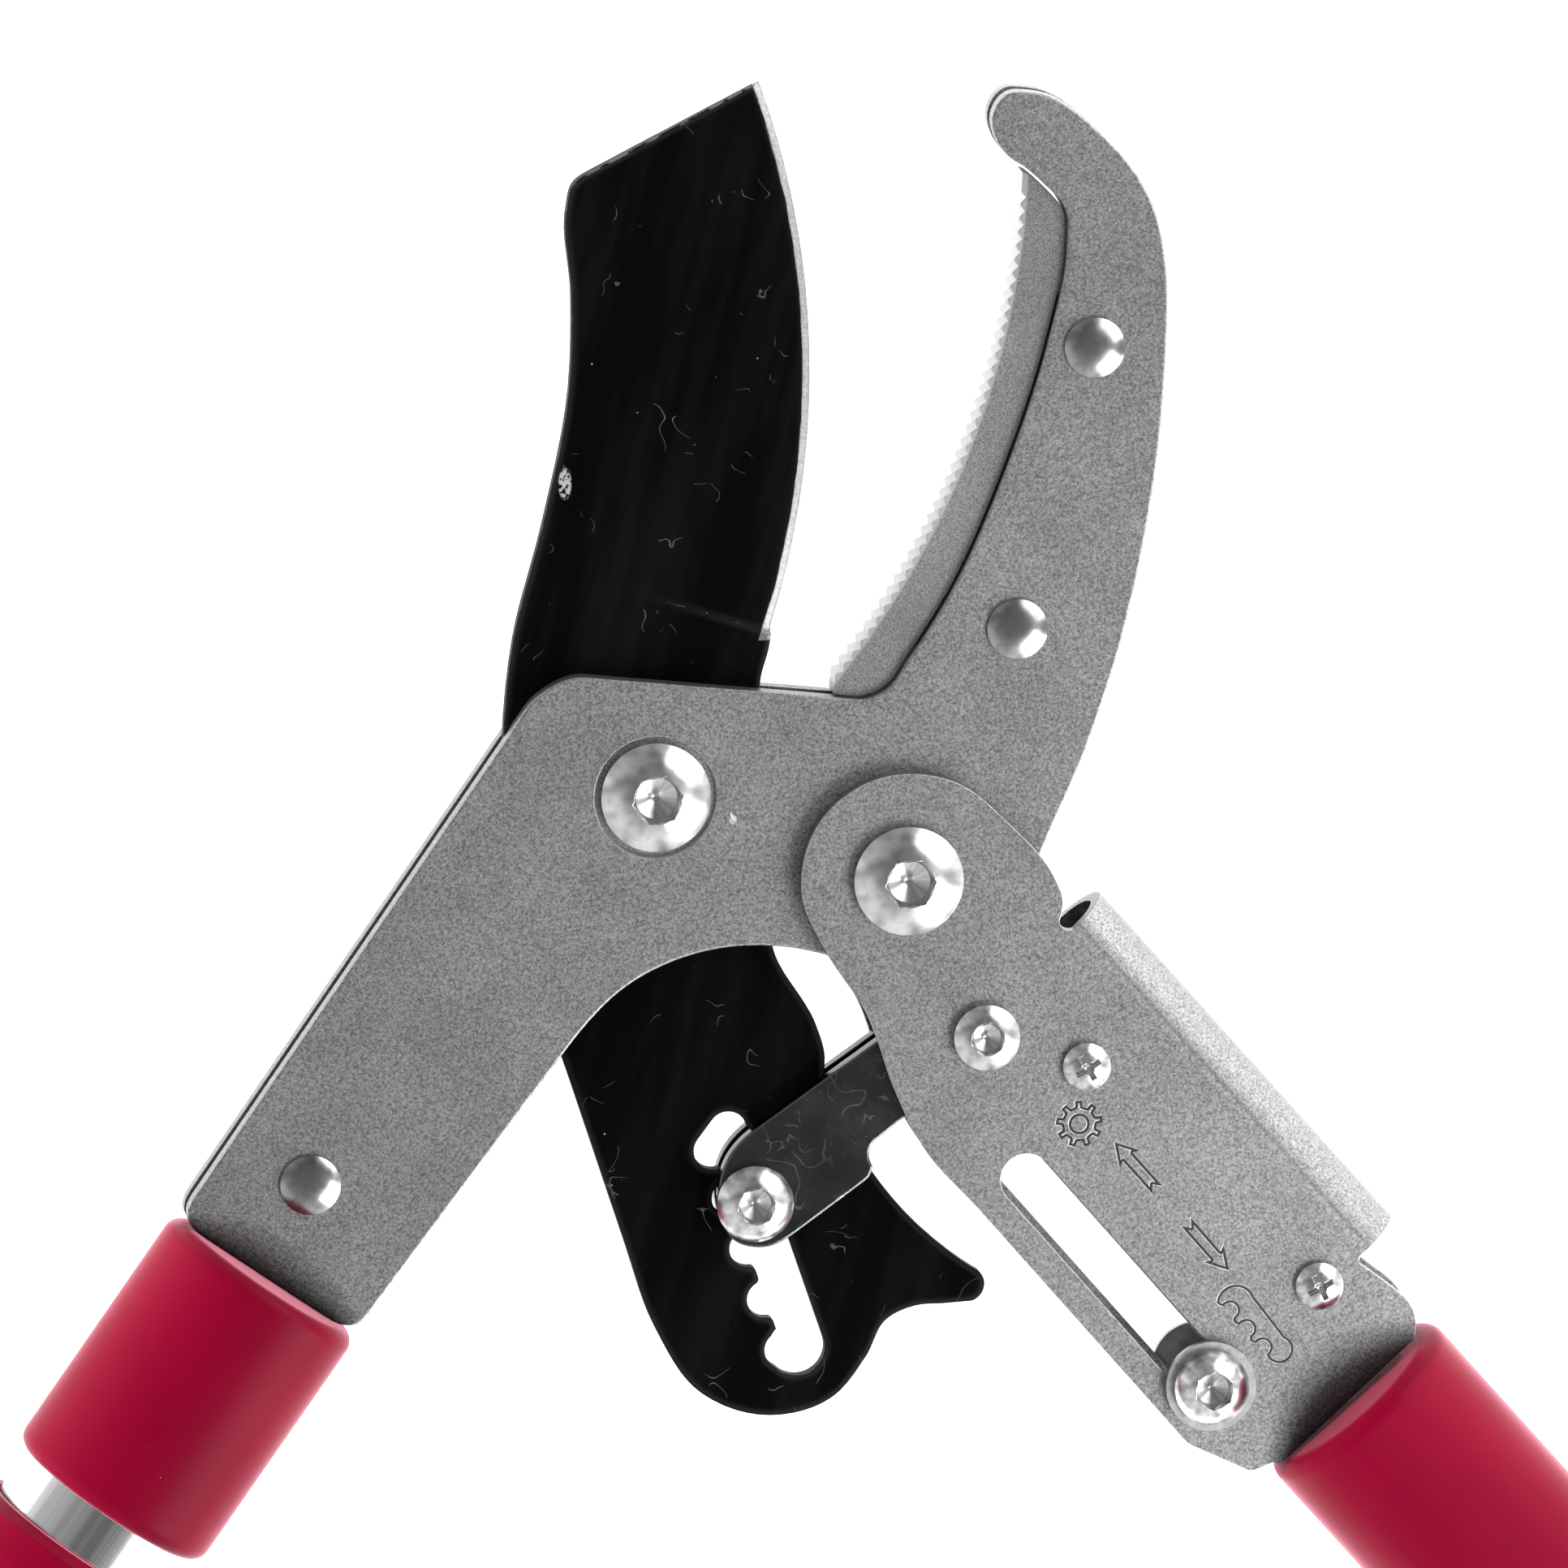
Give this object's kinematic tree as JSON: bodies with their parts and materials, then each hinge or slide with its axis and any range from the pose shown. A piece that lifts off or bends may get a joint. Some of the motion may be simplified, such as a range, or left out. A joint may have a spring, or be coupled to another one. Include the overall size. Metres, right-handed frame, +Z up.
{
  "type": "anvil lopper",
  "caption": "Long-handled anvil lopper with a ratchet linkage, a black blade closing on a toothed hook anvil, and telescopic twist-lock handles.",
  "frame": {"origin": "centre of the tool's footprint on the ground, with the tool lying open on its side", "axes": "+X across the two handles, +Y from the handles towards the jaws, +Z up, out of the tool's front face"},
  "size_m": [0.9484, 0.6988, 0.0384],
  "materials": {
    "satin_steel": "satin, bead blasted",
    "anvil_steel": "satin, milled teeth",
    "black_coating": "black non-stick coating, bright ground edge",
    "polished_steel": "polished",
    "plain_steel": "machined",
    "bronze_bush": "machined",
    "spring_steel": "drawn wire",
    "dark_link_steel": "dark polished",
    "red_plastic": "satin crimson",
    "bright_tube": "bright anodised",
    "outer_tube_coating": "satin anodised",
    "core_plastic": "moulded",
    "grip_rubber": "ribbed, soft",
    "cap_plastic": "satin crimson"
  },
  "bodies": {
    "frame": {"jaw_plate_front": "satin_steel", "jaw_plate_rear": "satin_steel", "anvil_insert": "anvil_steel", "jaw_rivets": "polished_steel", "arm_rivet": "polished_steel", "left_tang": "plain_steel", "blade_pivot_bolt": "polished_steel", "blade_pivot_bush": "bronze_bush", "blade_pivot_nut": "polished_steel", "lever_pivot_bolt": "polished_steel", "lever_pivot_spacer": "plain_steel", "lever_pivot_nut": "polished_steel", "left_sleeve": "red_plastic", "left_tube_core": "core_plastic", "left_core_pin": "plain_steel", "left_inner_tube": "bright_tube", "left_guide_bush": "core_plastic"},
    "blade": {"blade": "black_coating"},
    "lever": {"lever_housing": "satin_steel", "lever_screws": "polished_steel", "lever_screw_nuts": "polished_steel", "lever_post": "plain_steel", "right_tang": "plain_steel", "link_pivot_bolt": "polished_steel", "link_pivot_bush": "bronze_bush", "link_pivot_nut": "polished_steel", "link_spring": "spring_steel", "right_sleeve": "red_plastic", "right_tube_core": "core_plastic", "right_core_pin": "plain_steel", "right_inner_tube": "bright_tube", "right_guide_bush": "core_plastic"},
    "link": {"link_plate_front": "dark_link_steel", "link_plate_rear": "dark_link_steel", "ratchet_pin": "polished_steel", "ratchet_pin_nut": "polished_steel"},
    "selector": {"selector_bolt": "polished_steel", "selector_washers": "polished_steel", "selector_bush": "polished_steel", "selector_nut": "polished_steel"},
    "left_handle": {"left_outer_tube": "outer_tube_coating", "left_collet": "core_plastic", "left_grip": "grip_rubber", "left_end_cap": "cap_plastic"},
    "right_handle": {"right_outer_tube": "outer_tube_coating", "right_collet": "core_plastic", "right_grip": "grip_rubber", "right_end_cap": "cap_plastic"},
    "left_collar": {"left_lock_collar": "red_plastic"},
    "right_collar": {"right_lock_collar": "red_plastic"}
  },
  "joints": [
    {"name": "lever_pivot", "type": "hinge", "parent": "frame", "child": "lever", "pos_m": [-0.01235, 0.22571, 0.0192], "axis": [0, 0, -1], "range_deg": [0, 52]},
    {"name": "blade_pivot", "type": "hinge", "parent": "frame", "child": "blade", "pos_m": [-0.05115, 0.23911, 0.0192], "axis": [0, 0, -1], "range_deg": [0, 22.01]},
    {"name": "link_pivot", "type": "hinge", "parent": "lever", "child": "link", "pos_m": [-0.00015, 0.20081, 0.0192], "axis": [0, 0, 1], "range_deg": [0, 50.45]},
    {"name": "selector_slide", "type": "slide", "parent": "lever", "child": "selector", "axis": [-0.654, 0.7565, 0], "range_m": [0, 0.041]},
    {"name": "left_handle_slide", "type": "slide", "parent": "frame", "child": "left_handle", "axis": [-0.573, -0.8195, 0], "range_m": [0, 0.25]},
    {"name": "right_handle_slide", "type": "slide", "parent": "lever", "child": "right_handle", "axis": [0.66, -0.7513, 0], "range_m": [0, 0.25]},
    {"name": "left_collar_twist", "type": "hinge", "parent": "left_handle", "child": "left_collar", "pos_m": [-0.15146, 0.10744, 0.0192], "axis": [-0.573, -0.8195, 0], "range_deg": [0, 90]},
    {"name": "right_collar_twist", "type": "hinge", "parent": "right_handle", "child": "right_collar", "pos_m": [0.10415, 0.08902, 0.0192], "axis": [0.66, -0.7513, 0], "range_deg": [0, 90]}
  ],
  "couplings": [
    {"joint": "blade_pivot", "follows": "lever_pivot", "ratio": 0.42308},
    {"joint": "link_pivot", "follows": "lever_pivot", "ratio": 0.97}
  ]
}
